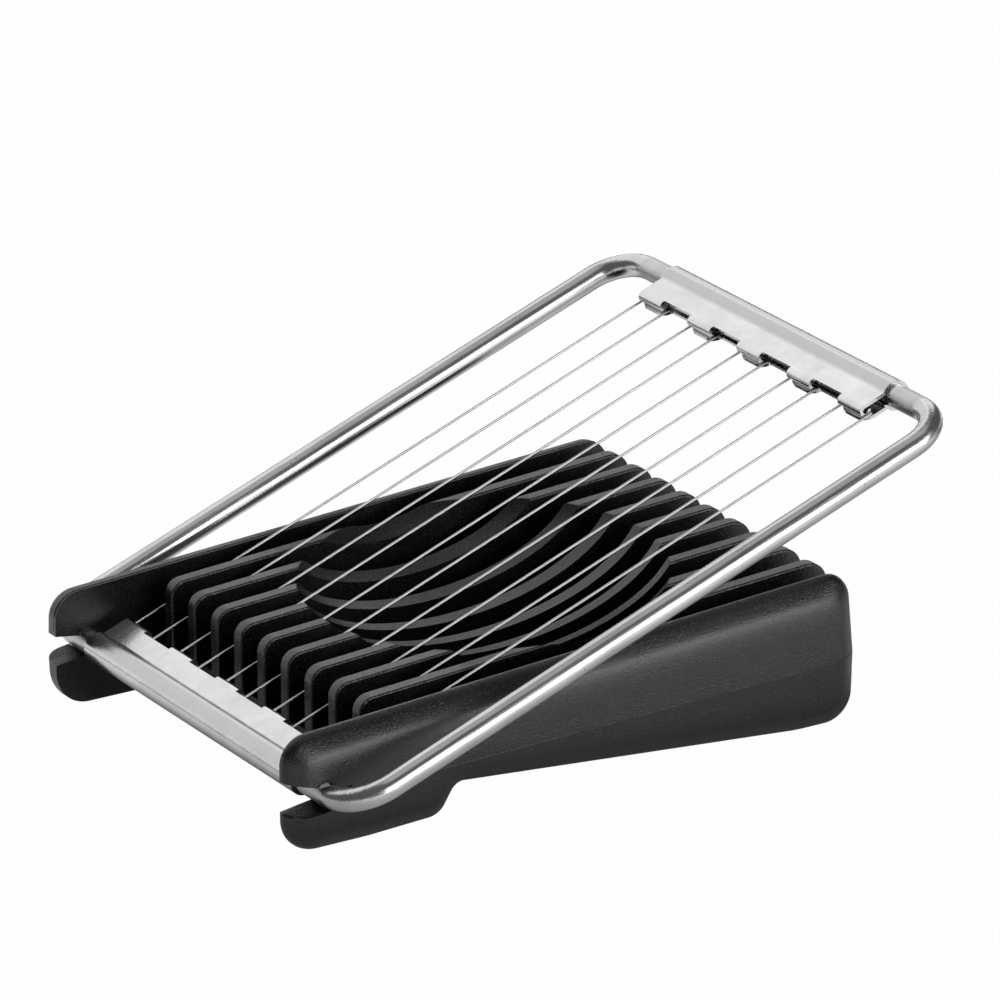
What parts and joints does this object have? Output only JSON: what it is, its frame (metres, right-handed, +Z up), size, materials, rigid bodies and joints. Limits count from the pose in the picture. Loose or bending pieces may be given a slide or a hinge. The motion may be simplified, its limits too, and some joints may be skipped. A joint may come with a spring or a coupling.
{
  "type": "egg slicer",
  "caption": "Kitchen egg slicer with a black comb base, an egg hollow and a hinged steel frame strung with taut cutting wires.",
  "frame": {"origin": "on the table under the middle of the whole object in its open pose", "axes": "+Z up, +Y from the hinge bar to the free end of the frame, +X across"},
  "size_m": [0.0804, 0.0968, 0.0443],
  "materials": {
    "black_plastic": "satin",
    "polished_rod": "polished",
    "clamp_sheet": "satin",
    "wire_steel": "bright"
  },
  "bodies": {
    "base": {"comb_base": "black_plastic"},
    "frame": {"frame_rod": "polished_rod", "front_clamp": "clamp_sheet", "rear_clamp": "clamp_sheet", "cutting_wire_01": "wire_steel", "cutting_wire_02": "wire_steel", "cutting_wire_03": "wire_steel", "cutting_wire_04": "wire_steel", "cutting_wire_05": "wire_steel", "cutting_wire_06": "wire_steel", "cutting_wire_07": "wire_steel", "cutting_wire_08": "wire_steel", "cutting_wire_09": "wire_steel", "cutting_wire_10": "wire_steel"}
  },
  "joints": [
    {"name": "frame_hinge", "type": "hinge", "parent": "base", "child": "frame", "pos_m": [0, -0.04342, 0.00835], "axis": [1, 0, 0], "range_deg": [-23.2, 79.3]}
  ]
}
